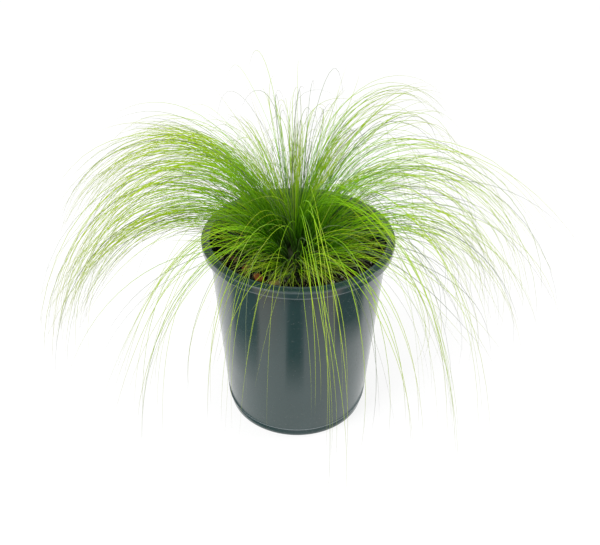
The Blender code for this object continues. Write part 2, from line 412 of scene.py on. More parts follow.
def glowMaterial(name, strength=1.0):
    material, tree, shader = newMaterial(name)
    shader.inputs["Base Color"].default_value = (0.0, 0.0, 0.0, 1.0)
    shader.inputs["Specular IOR Level"].default_value = 0.0
    shader.inputs["Emission Strength"].default_value = strength
    return material, tree, shader


# A sheet: at turn a and radius r its point is (r sin a, -r cos a); a and r are also
# its uv.
def makeSheet(sheet):
    turn = np.radians(np.linspace(*sheet["turn"], 49))
    radius = np.linspace(*sheet["radius"], 12)[:, None]
    grid = np.stack([radius * np.sin(turn), -radius * np.cos(turn),
                     np.full((len(radius), len(turn)), sheet["height"])], 2)
    row, column = np.meshgrid(np.arange(len(radius) - 1), np.arange(len(turn) - 1), indexing="ij")
    low = (row * len(turn) + column).ravel()
    quads = np.stack([low, low + len(turn), low + 1 + len(turn), low + 1], 1)
    across, out = np.meshgrid(np.linspace(0, 1, len(turn)), np.linspace(0, 1, len(radius)))
    uv = np.stack([across.ravel()[quads.ravel()], out.ravel()[quads.ravel()]], 1)
    piece = meshObject(f"mirrored.{sheet['name']}", grid.reshape(-1, 3), [quads], uv)
    material, tree, shader = glowMaterial(f"mirrored.{sheet['name']}")
    mapped = addNode(tree, "ShaderNodeUVMap", uv_map=bakeMap).outputs["UV"]
    split = addNode(tree, "ShaderNodeSeparateXYZ", {0: mapped})
    colour = addRamp(tree, split.outputs["X"], sheet["colours"])
    start, end = [(value - radius[0, 0]) / (radius[-1, 0] - radius[0, 0]) for value in sheet["fade"]]
    faded = addNode(tree, "ShaderNodeMapRange", {
        "Value": split.outputs["Y"], "From Min": start, "From Max": end, "To Min": 1.0, "To Max": 0.0})
    tree.links.new(addMix(tree, faded.outputs[0], colour, sheetWhite), shader.inputs["Emission Color"])
    piece.data.materials.append(material)
    onlyMirrored(piece)


def makeCard(card):
    middle = np.array(card["middle"])
    wide, high = [value / 2 for value in card["size"]]
    turn = math.radians(card["turn"])
    along = np.array([math.cos(turn), math.sin(turn), 0.0]) * wide
    up = np.array([0.0, 0.0, high])
    corners = np.array([middle - along - up, middle + along - up, middle + along + up, middle - along + up])
    piece = meshObject(f"mirrored.{card['name']}", corners, [np.array([[0, 1, 2, 3]])])
    material, tree, shader = glowMaterial(f"mirrored.{card['name']}", card["strength"])
    patch = addGroup(tree, mottleGroup, {"Vector": objectPlace(tree), "Scale": 4.0})
    darker = tuple(0.8 * value for value in card["colour"])
    tree.links.new(addMix(tree, patch, card["colour"], darker), shader.inputs["Emission Color"])
    piece.data.materials.append(material)
    onlyMirrored(piece)


bpy.context.scene.view_settings.view_transform = "Standard"
makeCamera()
makeLights()
makeFloor()
for sheet in mirroredSet["sheets"]:
    makeSheet(sheet)
for card in mirroredSet["cards"]:
    makeCard(card)
print("camera, light and floor made")


# Pot

potSet = {
    "height": 150 * mm,
    "rimRadius": 70 * mm,
    "band": 6.5 * mm,            # height of the band under the rim's edge
    "ledge": 6 * mm,             # flat top of the rim
    "wall": 1.2 * mm,
    "topRadius": 64.6 * mm,
    "bottomRadius": 54.8 * mm,
    "footRadius": 53.2 * mm,
    "footHeight": 6.4 * mm,
    "footRing": 3 * mm,
    "floorTop": 5 * mm,
    "floorWall": 1.6 * mm,
    "drains": 6,
    "drainRadius": 4 * mm,
    "drainCircle": 36 * mm,
    "softness": 0.8 * mm,       # reach of the rounding at each edge
    "sides": 192,
    "deep": (0.018, 0.043, 0.042),
    "pale": (0.024, 0.053, 0.054),
    # the colour of the painted highlight lines
    "paintedHighlight": (0.30, 0.34, 0.36),
    "dust": (0.10, 0.11, 0.11),
    # how strong the painted highlight lines are, at parts of the pot's height
    "edges": [(0.041, 0.0), (0.044, 0.8), (0.050, 0.8), (0.055, 0.0), (0.955, 0.0), (0.957, 0.3),
              (0.961, 0.3), (0.964, 0.0), (0.987, 0.0), (0.991, 0.25), (0.995, 0.0)],
    "roughness": 0.17,
}


# Outside radius of the pot's tapered wall at a height, on a straight line between
# its two given radii.
def bodyRadius(height):
    low, high = potSet["footHeight"], potSet["height"] - potSet["band"]
    part = (height - low) / (high - low)
    return potSet["bottomRadius"] + (potSet["topRadius"] - potSet["bottomRadius"]) * part


# The wall's outline: up the inside, over the rim, down the outside, in under the foot.
def potOutline():
    top, rim, wall = potSet["height"], potSet["rimRadius"], potSet["wall"]
    corner, flange = 1.3 * mm, 1.6 * mm
    ledgeIn = rim - potSet["ledge"]
    bandLow = top - potSet["band"]
    foot, footHigh, floorTop = potSet["footRadius"], potSet["footHeight"], potSet["floorTop"]
    insideLow = bodyRadius(footHigh) - wall
    bottom = potSet["bottomRadius"]
    ring = foot - potSet["footRing"]
    return np.array([
        (0.0, floorTop),
        (insideLow - corner, floorTop),
        (insideLow, floorTop + corner),
        (ledgeIn - 0.6 * mm, top - 2.0 * mm),
        (ledgeIn - 0.3 * mm, top - 0.05 * mm),
        (ledgeIn + 0.6 * mm, top),
        (ledgeIn + 1.2 * mm, top - 0.35 * mm),
        (rim - 1.0 * mm, top - 0.35 * mm),
        (rim - 0.05 * mm, top - 0.7 * mm),
        (rim - 0.4 * mm, bandLow),
        (rim - 0.4 * mm - wall, bandLow),
        (rim - 0.1 * mm - wall, top - flange),
        (bodyRadius(top - flange), top - flange),
        (bottom + 0.15 * mm, footHigh + 1.7 * mm),
        (bottom - 0.2 * mm, footHigh + 0.5 * mm),
        (bottom - 1.1 * mm, footHigh),
        (foot + 0.4 * mm, footHigh - 0.4 * mm),
        (foot, 0.0),
        (ring, 0.0),
        (ring - 0.3 * mm, floorTop - potSet["floorWall"]),
        (0.0, floorTop - potSet["floorWall"]),
    ])


# Drain holes: round plugs in a ring, cut out of the pot's floor.
def cutDrains(pot):
    angle = np.arange(24) * 2 * np.pi / 24
    pointSets, quadSets, triangleSets = [], [], []
    for index in range(potSet["drains"]):
        turn = 2 * math.pi * (index + 0.5) / potSet["drains"]
        x, y = potSet["drainCircle"] * math.cos(turn), potSet["drainCircle"] * math.sin(turn)
        profile = np.array([(0, 9 * mm), (potSet["drainRadius"], 9 * mm),
                            (potSet["drainRadius"], -2 * mm), (0, -2 * mm)])
        points, quads, triangles, _, _ = turnedGrid(profile, len(angle), x, y)
        offset = sum(len(one) for one in pointSets)
        pointSets.append(points)
        quadSets.append(quads + offset)
        triangleSets.append(triangles + offset)
    cutter = meshObject("drainCutter", np.vstack(pointSets), [np.vstack(quadSets), np.vstack(triangleSets)])
    cut = pot.modifiers.new("drains", "BOOLEAN")
    cut.operation = "DIFFERENCE"
    cut.object = cutter
    graph = bpy.context.evaluated_depsgraph_get()
    finished = bpy.data.meshes.new_from_object(pot.evaluated_get(graph))
    pot.modifiers.clear()
    pot.data = finished
    bpy.data.objects.remove(cutter, do_unlink=True)


def potMaterial():
    material, tree, shader = newMaterial("potPlastic")
    place = objectPlace(tree)
    # moulding flow: faint upright streaks over broad cloudy patches
    streak = addGroup(tree, grainGroup, {"Vector": place, "Stretch": (1.0, 1.0, 0.06), "Scale": 34.0,
                                         "Contrast": 2.2})
    cloud = addGroup(tree, mottleGroup, {"Vector": place, "Scale": 16.0, "Detail": 2.0})
    both = addNode(tree, "ShaderNodeMath", {0: streak, 1: cloud}, operation="MULTIPLY")
    body = addMix(tree, both.outputs[0], potSet["deep"], potSet["pale"])
    # dust: specks, thicker towards the foot
    height = addNode(tree, "ShaderNodeSeparateXYZ", {0: place}).outputs["Z"]
    low = addNode(tree, "ShaderNodeMapRange", {
        "Value": height, "From Min": 0.0, "From Max": 30 * mm, "To Min": 0.30, "To Max": 0.04})
    speck = addGroup(tree, mottleGroup, {"Vector": place, "Scale": 420.0, "Detail": 4.0, "Low": 0.52,
                                         "High": 0.72})
    dusty = addNode(tree, "ShaderNodeMath", {0: speck, 1: low.outputs[0]}, operation="MULTIPLY")
    # painted highlights: pale lines at the body's bottom, the band's edge and the rim's edge, where rounded
    # corners would catch the light
    part = addNode(tree, "ShaderNodeMapRange", {
        "Value": height, "From Min": 0.0, "From Max": potSet["height"]}).outputs[0]
    edges = addRamp(tree, part, [(place, (value, value, value)) for place, value in potSet["edges"]])
    surfaceColour = addMix(tree, edges, addMix(tree, dusty.outputs[0], body, potSet["dust"]), potSet["paintedHighlight"])
    tree.links.new(surfaceColour, shader.inputs["Base Color"])
    rough = addNode(tree, "ShaderNodeMapRange", {
        "Value": speck, "To Min": potSet["roughness"], "To Max": potSet["roughness"] + 0.14})
    tree.links.new(rough.outputs[0], shader.inputs["Roughness"])
    shader.inputs["IOR"].default_value = 1.5
    shader.inputs["Coat Weight"].default_value = 0.35
    shader.inputs["Coat Roughness"].default_value = 0.06
    # skin of the moulding: a slight waviness
    wave = addGroup(tree, mottleGroup, {"Vector": place, "Scale": 60.0, "Detail": 2.0, "Low": 0.2,
                                        "High": 0.8})
    addBump(tree, shader, wave, 0.25, 0.25 * mm)
    return material


def makePot():
    outline = softened(potOutline(), potSet["softness"])
    points, quads, triangles, quadUv, triangleUv = turnedGrid(outline, potSet["sides"])
    pot = meshObject("nurseryPot", points, [quads, triangles])
    pot.data.materials.append(potMaterial())
    cutDrains(pot)
    pot.data.set_sharp_from_angle(angle=math.radians(50))
    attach(pot, "root")
    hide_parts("pot")


makePot()
print("pot made")


# Potting mix

mixSet = {
    "top": 134 * mm,
    "clear": 0.4 * mm,           # gap to the pot's wall and floor
    "lump": 1.3 * mm,            # height of the lumps
    "rings": 64,
    "columns": 200,
    "crumbs": 1500,
    "crumbSize": (0.7 * mm, 2.3 * mm),
    "dark": (0.008, 0.0065, 0.0045),
    "brown": (0.024, 0.017, 0.010),
    "rust": (0.22, 0.075, 0.022),
    "pale": (0.52, 0.47, 0.38),
    "shares": (0.86, 0.09, 0.025, 0.025),   # of dark, brown, rust and pale crumbs
    "seed": 11,
}


# Height of the mix's lumpy top: two sizes of soft noise on its flat level.
def mixHeight(x, y):
    at = np.stack([x, y, np.zeros_like(x)], -1)
    coarse = softNoise(at, 17 * mm, mixSet["seed"])
    fine = softNoise(at, 5 * mm, mixSet["seed"] + 1)
    return mixSet["top"] + mixSet["lump"] * (0.35 * coarse + 0.45 * fine)


# The body: rows of the top from the middle out to the wall, then the side and the
# bottom. Its point at radius r and turn a is (r cos a, r sin a, mixHeight).
def mixBody():
    wall, clear = potSet["wall"], mixSet["clear"]
    topOut = bodyRadius(mixSet["top"]) - wall - 2 * clear
    bottomOut = bodyRadius(potSet["footHeight"]) - wall - clear - 1.4 * mm
    bottom = potSet["floorTop"] + clear
    radius = np.linspace(0, topOut, mixSet["rings"] + 1)[1:]
    angle = np.arange(mixSet["columns"]) * 2 * np.pi / mixSet["columns"]
    x, y = radius[:, None] * np.cos(angle), radius[:, None] * np.sin(angle)
    top = np.stack([x, y, mixHeight(x, y)], 2)
    sideRadius = np.array([topOut - 0.3 * mm, bottomOut + 0.9 * mm, bottomOut])
    sideHeight = np.array([mixSet["top"] - 4 * mm, bottom + 1.4 * mm, bottom])
    side = np.stack([sideRadius[:, None] * np.cos(angle), sideRadius[:, None] * np.sin(angle),
                     np.repeat(sideHeight[:, None], len(angle), 1)], 2)
    grid = np.concatenate([top, side])
    centre = mixHeight(np.zeros(1), np.zeros(1))[0]
    return closedGrid(grid, (0, 0, centre), (0, 0, bottom))


# Points and triangles of a ball of twenty faces.
def twentyFaces():
    golden = (1 + math.sqrt(5)) / 2
    points = np.array([(-1, golden, 0), (1, golden, 0), (-1, -golden, 0), (1, -golden, 0),
                       (0, -1, golden), (0, 1, golden), (0, -1, -golden), (0, 1, -golden),
                       (golden, 0, -1), (golden, 0, 1), (-golden, 0, -1), (-golden, 0, 1)], float)
    points /= np.linalg.norm(points[0])
    near = np.linalg.norm(points[:, None] - points[None], axis=2) < 1.1
    triangles = [(a, b, c) for a in range(12) for b in range(a + 1, 12) for c in range(b + 1, 12)
                 if near[a, b] and near[b, c] and near[a, c]]
    triangles = np.array(triangles)
    a, b, c = [points[triangles[:, k]] for k in range(3)]
    inward = np.einsum("ij,ij->i", np.cross(b - a, c - a), a) < 0
    triangles[inward] = triangles[inward][:, ::-1]
    return points, triangles


# Random turns as matrices, from unit quaternions.
def randomTurns(rng, count):
    q = rng.normal(size=(count, 4))
    w, x, y, z = (q / np.linalg.norm(q, axis=1, keepdims=True)).T
    return np.stack([
        1 - 2 * (y * y + z * z), 2 * (x * y - z * w), 2 * (x * z + y * w),
        2 * (x * y + z * w), 1 - 2 * (x * x + z * z), 2 * (y * z - x * w),
        2 * (x * z - y * w), 2 * (y * z + x * w), 1 - 2 * (x * x + y * y)], 1).reshape(-1, 3, 3)


# Crumbs: balls of twenty faces, each squashed, dented and turned at random, that lie
# on the lumpy top. Their radius from the middle is the root of an even spread.
def mixCrumbs():
    rng = np.random.default_rng(mixSet["seed"])
    ball, faces = twentyFaces()
    count = mixSet["crumbs"]
    reach = bodyRadius(mixSet["top"]) - potSet["wall"] - 2.6 * mm
    radius = reach * np.sqrt(rng.uniform(0, 1, count))
    angle = rng.uniform(0, 2 * np.pi, count)
    low, high = mixSet["crumbSize"]
    size = low + (high - low) * rng.uniform(0, 1, count) ** 2.5
    squash = rng.uniform(0.45, 1.0, (count, 3))
    dent = rng.uniform(0.8, 1.15, (count, len(ball), 1))
    shapes = ball[None] * dent * squash[:, None] * size[:, None, None]
    shapes = np.einsum("nij,nkj->nki", randomTurns(rng, count), shapes)
    x, y = radius * np.cos(angle), radius * np.sin(angle)
    middle = np.stack([x, y, mixHeight(x, y) + 0.25 * size], 1)
    points = (shapes + middle[:, None]).reshape(-1, 3)
    triangles = (faces[None] + (np.arange(count) * len(ball))[:, None, None]).reshape(-1, 3)
    kind = rng.choice(4, count, p=mixSet["shares"])
    return points, triangles, np.repeat(kind, len(faces))


def mixMaterial(name, colour, paler):
    material, tree, shader = newMaterial(name)
    place = objectPlace(tree)
    patch = addGroup(tree, mottleGroup, {"Vector": place, "Scale": 260.0, "Detail": 5.0})
    tree.links.new(addMix(tree, patch, colour, paler), shader.inputs["Base Color"])
    shader.inputs["Roughness"].default_value = 0.92
    shader.inputs["Specular IOR Level"].default_value = 0.2
    fibre = addGroup(tree, grainGroup, {"Vector": place, "Stretch": (1.0, 0.3, 1.0), "Scale": 900.0,
                                        "Contrast": 1.6})
    addBump(tree, shader, fibre, 0.8, 0.5 * mm)
    return material


def makeMix():
    points, quads, triangles, _, _ = mixBody()
    crumbPoints, crumbFaces, kinds = mixCrumbs()
    crumbFaces = crumbFaces + len(points)
    slots = np.concatenate([np.zeros(len(quads) + len(triangles), int), kinds])
    mix = meshObject("pottingMix", np.vstack([points, crumbPoints]), [quads, triangles, crumbFaces],
                     slots=slots)
    dark, brown, rust, pale = [mixSet[key] for key in ("dark", "brown", "rust", "pale")]
    mix.data.materials.append(mixMaterial("mixDark", dark, tuple(1.6 * value for value in dark)))
    mix.data.materials.append(mixMaterial("mixBrown", brown, tuple(2 * value for value in brown)))
    mix.data.materials.append(mixMaterial("mixRust", rust, brown))
    mix.data.materials.append(mixMaterial("mixPale", pale, tuple(0.7 * value for value in pale)))
    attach(mix, "root")
    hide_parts("potting_mix")


makeMix()
print("potting mix made")


# Bark chips

barkSet = {
    "chips": [           # name, middle (x, y), (length, width, height), turn, colour, grain colour
        ("tan", (-15.5, -41.5), (8.0, 5.0, 3.2), 24, (0.50, 0.34, 0.17), (0.27, 0.15, 0.06)),
        ("orange", (-27.5, -34.0), (9.0, 5.5, 3.0), 118, (0.44, 0.15, 0.035), (0.20, 0.06, 0.02)),
        ("rust", (-36.5, -22.5), (7.5, 4.5, 2.8), 76, (0.36, 0.13, 0.04), (0.15, 0.05, 0.02)),
        ("brown", (-46.5, -11.0), (8.5, 4.0, 2.6), 140, (0.13, 0.065, 0.03), (0.05, 0.025, 0.012)),
        ("dark", (35.0, -36.0), (9.0, 5.0, 2.8), 35, (0.07, 0.040, 0.022), (0.03, 0.018, 0.01)),
    ],
    "rows": 28,
    "columns": 44,
    "boxiness": 0.45,    # 1 is an egg, 0 a box
    "gap": 0.3 * mm,
}


# A flake: an egg whose sines and cosines are raised to a power below 1, so that it
# nears a box. At latitude v and turn u the point is (a cos v cos u, b cos v sin u,
# c sin v), then the ends are slanted, and layers and dents come from soft noise.
def barkFlake(size, middle, turn, seed):
    length, width, height = [value * mm for value in size]
    power = lambda value: np.sign(value) * np.abs(value) ** barkSet["boxiness"]
    v = np.linspace(-np.pi / 2, np.pi / 2, barkSet["rows"] + 2)[1:-1][:, None]
    u = (np.arange(barkSet["columns"]) * 2 * np.pi / barkSet["columns"])[None]
    x = length / 2 * power(np.cos(v)) * power(np.cos(u))
    y = width / 2 * power(np.cos(v)) * power(np.sin(u))
    z = height / 2 * power(np.sin(v)) * np.ones_like(u)
    z = z * (1 - 0.25 * x / length)
    y = y * (1 - 0.3 * x / length)
    flake = np.stack([x, y, z], 2)
    stretched = flake * np.array([0.3, 1.0, 1.0])
    ridge = softNoise(stretched, 1.6 * mm, seed)
    dent = softNoise(flake, 3.2 * mm, seed + 5)
    flake = flake * (1 + 0.07 * ridge + 0.10 * dent)[..., None]
    angle = math.radians(turn)
    spun = np.array([(math.cos(angle), math.sin(angle), 0), (-math.sin(angle), math.cos(angle), 0),
                     (0, 0, 1)])
    centre = np.array([middle[0] * mm, middle[1] * mm, mixSet["top"] + height / 2 + barkSet["gap"]])
    ends = np.array([(0, 0, -height / 2), (0, 0, height / 2)]) * 0.98
    points, quads, triangles, _, _ = closedGrid(flake, *ends)
    # across and along the chip, so that the grain follows it
    cornersOf = [points[faces.ravel()] for faces in (quads, triangles)]
    uv = np.vstack([np.stack([at[:, 0] / length + 0.5, (at[:, 1] + at[:, 2]) / (2 * width) + 0.5], 1)
                    for at in cornersOf])
    return points @ spun + centre, quads, triangles, uv


def barkMaterial(name, colour, grainColour):
    material, tree, shader = newMaterial(name)
    chipPlace = addNode(tree, "ShaderNodeUVMap", uv_map="barkMap").outputs["UV"]
    place = objectPlace(tree)
    grain = addGroup(tree, grainGroup, {"Vector": chipPlace, "Stretch": (0.25, 2.4, 1.0), "Scale": 9.0,
                                        "Contrast": 2.4})
    patch = addGroup(tree, mottleGroup, {"Vector": place, "Scale": 420.0, "Detail": 4.0})
    streaked = addMix(tree, grain, grainColour, colour)
    surfaceColour = addMix(tree, patch, streaked, tuple(0.75 * value for value in colour))
    tree.links.new(surfaceColour, shader.inputs["Base Color"])
    shader.inputs["Roughness"].default_value = 0.8
    shader.inputs["Specular IOR Level"].default_value = 0.3
    addBump(tree, shader, grain, 0.7, 0.4 * mm)
    return material


def makeBark():
    for seed, (name, middle, size, turn, colour, grainColour) in enumerate(barkSet["chips"]):
        points, quads, triangles, uv = barkFlake(size, middle, turn, 40 + seed)
        chip = meshObject(f"barkChip.{name}", points, [quads, triangles], uv)
        chip.data.uv_layers[0].name = "barkMap"
        chip.data.materials.append(barkMaterial(f"bark.{name}", colour, grainColour))
        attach(chip, "root")
        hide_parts(f"bark_chip_{name}")


makeBark()
print("bark chips made")


# Leaves

tuftSet = {
    "x": -2 * mm,
    "y": -7 * mm,
    "crownRadius": 31 * mm,
    "crownRise": 12 * mm,
    "gap": 0.3 * mm,
    "steps": 18,         # rings of points along a leaf
    "fine": 3,           # steps of its path between two rings
    "lockTurn": 7,
    "columns": 40,       # strips of the leaf map, one for each tone
    # reach every 45 degrees, counter-clockwise from the right-hand side
    "sideReach": (0.98, 1.02, 1.01, 0.98, 0.97, 0.98, 0.89, 0.96),
}

# The rings of locks, as their solids are laid out. tufts is how many tufts of leaves
# each lock has, counter-clockwise from the ring's first direction, leaves how many
# leaves a tuft has.
ringSet = [
    {"name": "top", "rootRadius": 5.6, "lift": 84, "length": 126, "bend": 52, "first": 20,
     "tufts": (3, 6, 5, 6, 5, 7), "leaves": 3, "tone": 0.56, "seed": 101},
    {"name": "upper", "rootRadius": 12.8, "lift": 74, "length": 230, "bend": 150, "first": 5,
     "tufts": (3, 4, 4, 4, 4, 2, 1, 1, 1, 0, 0, 1, 3), "leaves": 3, "tone": 0.42, "seed": 102},
    {"name": "middle", "rootRadius": 20.6, "lift": 61, "length": 218, "bend": 140, "first": 11,
     "tufts": (3, 4, 4, 6, 5, 3, 2, 1, 1, 1, 0, 0, 1, 2, 3), "leaves": 3, "tone": 0.42, "seed": 103},
    {"name": "outer", "rootRadius": 28.0, "lift": 47, "length": 176, "bend": 124, "first": 0,
     "tufts": (3, 4, 6, 10, 12, 9, 7, 3, 1, 1, 1, 1, 0, 1, 1, 2), "leaves": 3, "tone": 0.48, "seed": 104},
]

# Bundles that stand out in the tuft: ring, azimuth, lift, length, bend, turn, how late
# it droops, root radius and number of leaves.
bundleSet = [
    # the mass on the left and its long curtain
    ("upper", 150, 70, 160, 92, -8, 1.0, 16, 24),
    ("upper", 146, 67, 194, 104, 0, 1.0, 15, 16),
    ("upper", 166, 76, 215, 132, 18, 1.1, 11, 7),
    ("upper", 134, 61, 228, 117, 27, 0.9, 11, 10),
    ("upper", 187, 80, 190, 140, 0, 1.15, 12, 34),
    ("upper", 196, 81, 220, 148, 8, 1.35, 13, 34),
    ("upper", 208, 71, 262, 138, 38, 1.3, 13, 22),
    ("upper", 206, 67, 252, 150, 37, 1.2, 20, 22),
    ("middle", 205, 59, 215, 128, 0, 1.0, 9, 15),
    ("middle", 217, 69, 215, 124, 9, 1.1, 22, 22),
    ("middle", 200, 58, 165, 110, -6, 1.0, 18, 24),
    ("middle", 238, 63, 222, 118, 3, 0.95, 20, 12),
    ("middle", 231, 61, 214, 144, 13, 0.9, 17, 7),
    # shorter leaves that thicken the foot of the tuft
    ("upper", 172, 73, 120, 100, 0, 1.0, 12, 34),
    ("upper", 196, 68, 112, 96, 0, 1.0, 14, 26),
    ("upper", 128, 72, 108, 84, 0, 1.0, 11, 26),
    ("top", 92, 78, 100, 66, 0, 1.0, 8, 34),
    ("upper", 62, 74, 112, 86, 0, 1.0, 10, 30),
    ("upper", 30, 70, 116, 96, 0, 1.0, 12, 26),
    # the arcs on the right
    ("upper", 52, 84, 218, 136, -17, 1.1, 4, 14),
    ("upper", 54, 78, 160, 85, -3, 0.85, 7, 15),
    ("upper", 43, 66, 198, 92, 11, 1.0, 7, 9),
    ("upper", 50, 70, 222, 131, -9, 0.9, 15, 10),
    ("upper", 334, 78, 240, 126, -20, 1.2, 10, 17),
    ("upper", 333, 71, 252, 153, -17, 1.3, 9, 15),
    ("upper", 307, 86, 292, 163, -12, 0.8, 2, 21),
    ("middle", 0, 51, 200, 138, 0, 1.05, 21, 9),
    ("middle", 331, 60, 200, 128, -8, 1.2, 22, 10),
    ("middle", 340, 70, 180, 143, -6, 1.2, 17, 9),
    ("middle", 297, 54, 200, 135, 0, 0.95, 21, 6),
    ("outer", 357, 46, 165, 134, 8, 0.95, 23, 5),
    ("outer", 359, 64, 130, 125, 4, 0.9, 18, 6),
    ("outer", 340, 54, 130, 130, 8, 1.0, 14, 5),
    ("outer", 309, 52, 170, 100, 8, 0.9, 18, 7),
    # the spikes at the back
    ("top", 98, 76, 190, 112, -8, 1.1, 10, 6),
    ("top", 66, 78, 160, 95, 10, 0.9, 5, 9),
    ("top", 60, 65, 192, 75, 20, 0.95, 7, 2),
    ("top", 117, 66, 148, 90, -7, 1.0, 12, 12),
    ("top", 105, 64, 184, 98, -12, 1.1, 13, 7),
    ("top", 85, 62, 186, 111, 5, 1.1, 14, 6),
    # the leaves that hang over the front
    ("upper", 271, 75, 252, 160, -11, 0.9, 10, 5),
    ("upper", 276, 80, 276, 172, 5, 0.9, 4, 8),
    ("outer", 258, 58, 192, 125, 4, 0.95, 17, 3),
    ("outer", 268, 54, 183, 112, -15, 0.95, 16, 4),
    ("outer", 276, 58, 178, 150, 4, 1.0, 18, 4),
    ("middle", 284, 64, 246, 152, -4, 0.8, 12, 2),
    ("outer", 296, 62, 108, 108, 10, 1.0, 24, 3),
    ("middle", 290, 63, 226, 160, -10, 1.0, 17, 3),
    ("middle", 240, 66, 188, 143, 25, 0.9, 20, 4),
    ("middle", 257, 72, 198, 117, -8, 1.0, 14, 3),
]

# Short dark stems that spread over the mix at the front: azimuth, lift, length, bend,
# root radius and number of leaves.
stemSet = [
    (236, 44, 50, 45, 22, 36),
    (255, 42, 44, 45, 24, 44),
    (272, 38, 40, 40, 25, 54),
    (290, 42, 44, 45, 24, 44),
    (306, 44, 50, 45, 22, 36),
]

# Low leaves that fill the room inside the rim, all round.
lowSet = {"tufts": 110, "leaves": 6, "lift": (24, 66), "bend": (30, 95), "length": (28, 82),
          "rootRadius": (12, 29), "tone": (0.3, 0.8), "seed": 105}

# Widths of the scatter: of the tufts about their locks, and of the leaves about their
# tufts, bundles, low tufts and front stems.
tuftSpread = {"azimuth": 7.5, "lift": 5.0, "bend": 15.0, "turn": 11.0, "rootRadius": 3.6 * mm, "tone": 0.2}
leafSpread = {"azimuth": 6.0, "lift": 4.0, "bend": 9.0, "turn": 8.0, "rootRadius": 1.4 * mm, "tone": 0.22,
              "rootAzimuth": 10.0, "late": 0.16, "sway": 5.0, "length": (0.75, 1.06), "halfWidth": 0.14 * mm,
              "gather": 0.6}
bundleSpread = {"azimuth": 4.2, "lift": 3.4, "bend": 5.0, "turn": 5.0, "rootRadius": 2.4 * mm, "tone": 0.2,
                "rootAzimuth": 12.0, "late": 0.08, "sway": 4.0, "length": (0.78, 1.05), "halfWidth": 0.18 * mm,
                "gather": 0.75}
lowSpread = {"azimuth": 7.0, "lift": 6.0, "bend": 12.0, "turn": 14.0, "rootRadius": 1.5 * mm, "tone": 0.2,
             "rootAzimuth": 9.0, "late": 0.14, "sway": 4.0, "length": (0.6, 1.1), "halfWidth": 0.17 * mm,
             "gather": 0.0}
stemSpread = {"azimuth": 8.0, "lift": 7.0, "bend": 14.0, "turn": 16.0, "rootRadius": 3.0 * mm, "tone": 0.02,
              "rootAzimuth": 9.0, "late": 0.14, "sway": 4.0, "length": (0.5, 1.1), "halfWidth": 0.19 * mm,
              "gather": 0.0}
clearance = 0.7 * mm         # of the leaves from the pot


# A value for each direction from eight given ones, blended with half a cosine wave.
def bySide(values, azimuth):
    place = (azimuth % 360) / 45
    low = np.floor(place).astype(int) % 8
    blend = 0.5 - 0.5 * np.cos(np.pi * (place - np.floor(place)))
    values = np.array(values)
    return values[low] * (1 - blend) + values[(low + 1) % 8] * blend


# The repeatable variation of a lock, from -1 to 1: a sine of its number.
def wobble(number, channel):
    return np.sin(number * (2.1 + 2.3 * channel) + 1.2 * channel)


# Height of the crown's dome at a radius: its rise falls with the radius squared.
def crownHeight(radius):
    rise = tuftSet["crownRise"] * (1 - (radius / tuftSet["crownRadius"]) ** 2)
    return mixSet["top"] + tuftSet["gap"] + rise


# Paths of many leaves at once. A leaf's slope falls from lift by bend, half of it
# evenly and half slowly at both ends, its heading turns by turn and sways by one
# sine wave, and the path is the running sum of its short moves. leaf is a
# dictionary of arrays with one value to each leaf; gives leaves x rings x 3
# points, with the heading and the slope there.
def leafPaths(leaf, steps):
    parts = steps * tuftSet["fine"]
    along = np.linspace(0, 1, parts + 1)[None]
    late = along ** leaf["late"][:, None]
    fall = 0.5 * late + 0.5 * late * late * (3 - 2 * late)
    slope = np.radians(leaf["lift"][:, None] - leaf["bend"][:, None] * fall)
    heading = leaf["azimuth"][:, None] + leaf["turn"][:, None] * along
    heading = np.radians(heading + leaf["sway"][:, None] * np.sin(2 * np.pi * along))
    way = np.stack([np.cos(slope) * np.cos(heading), np.cos(slope) * np.sin(heading),
                    np.sin(slope)], 2)
    moves = 0.5 * (way[:, 1:] + way[:, :-1]) * (leaf["length"] / parts)[:, None, None]
    rootAngle = np.radians(leaf["rootAzimuth"])
    start = np.stack([tuftSet["x"] + leaf["rootRadius"] * np.cos(rootAngle),
                      tuftSet["y"] + leaf["rootRadius"] * np.sin(rootAngle),
                      crownHeight(leaf["rootRadius"]) - 1.5 * mm], 1)
    path = np.concatenate([start[:, None], start[:, None] + np.cumsum(moves, 1)], 1)
    every = slice(None, None, tuftSet["fine"])
    return path[:, every], heading[:, every], slope[:, every]


# Which paths stay clear of the pot's rim and wall, the mix and the floor, and inside
# the room round the solids.
def clearPaths(path):
    near = clearance
    radius = np.hypot(path[..., 0], path[..., 1])
    height = path[..., 2]
    inner, outer = potSet["rimRadius"] - potSet["ledge"] - near, potSet["rimRadius"] + near
    wall = bodyRadius(height) + near
    onRim = (height < potSet["height"] + near) & (radius > inner - 0.8 * mm) & (radius < outer)
    inWall = (height < potSet["height"]) & (radius > inner) & (radius < wall)
    tooLow = (height < 2 * mm) & (radius >= outer)
    inMix = (height < mixSet["top"] - 2.5 * mm) & (radius <= inner)
    lowest, highest = np.array(cadBox[0]), np.array(cadBox[1])
    room = np.array([9, 9, 9]) * mm
    outside = ((path < lowest - room) | (path > highest + room)).any(2)
    outside &= height > 0
    return ~(onRim | inWall | tooLow | inMix | outside).any(1)


# Half the width of a leaf along its length: full from a quarter on, then thinning
# to a fine point over the last part.
def leafWidth(along):
    swell = 0.75 + 0.25 * np.minimum(along / 0.25, 1)
    return swell * np.clip((1 - along) / 0.45, 0, 1) ** 0.75 + 0.03


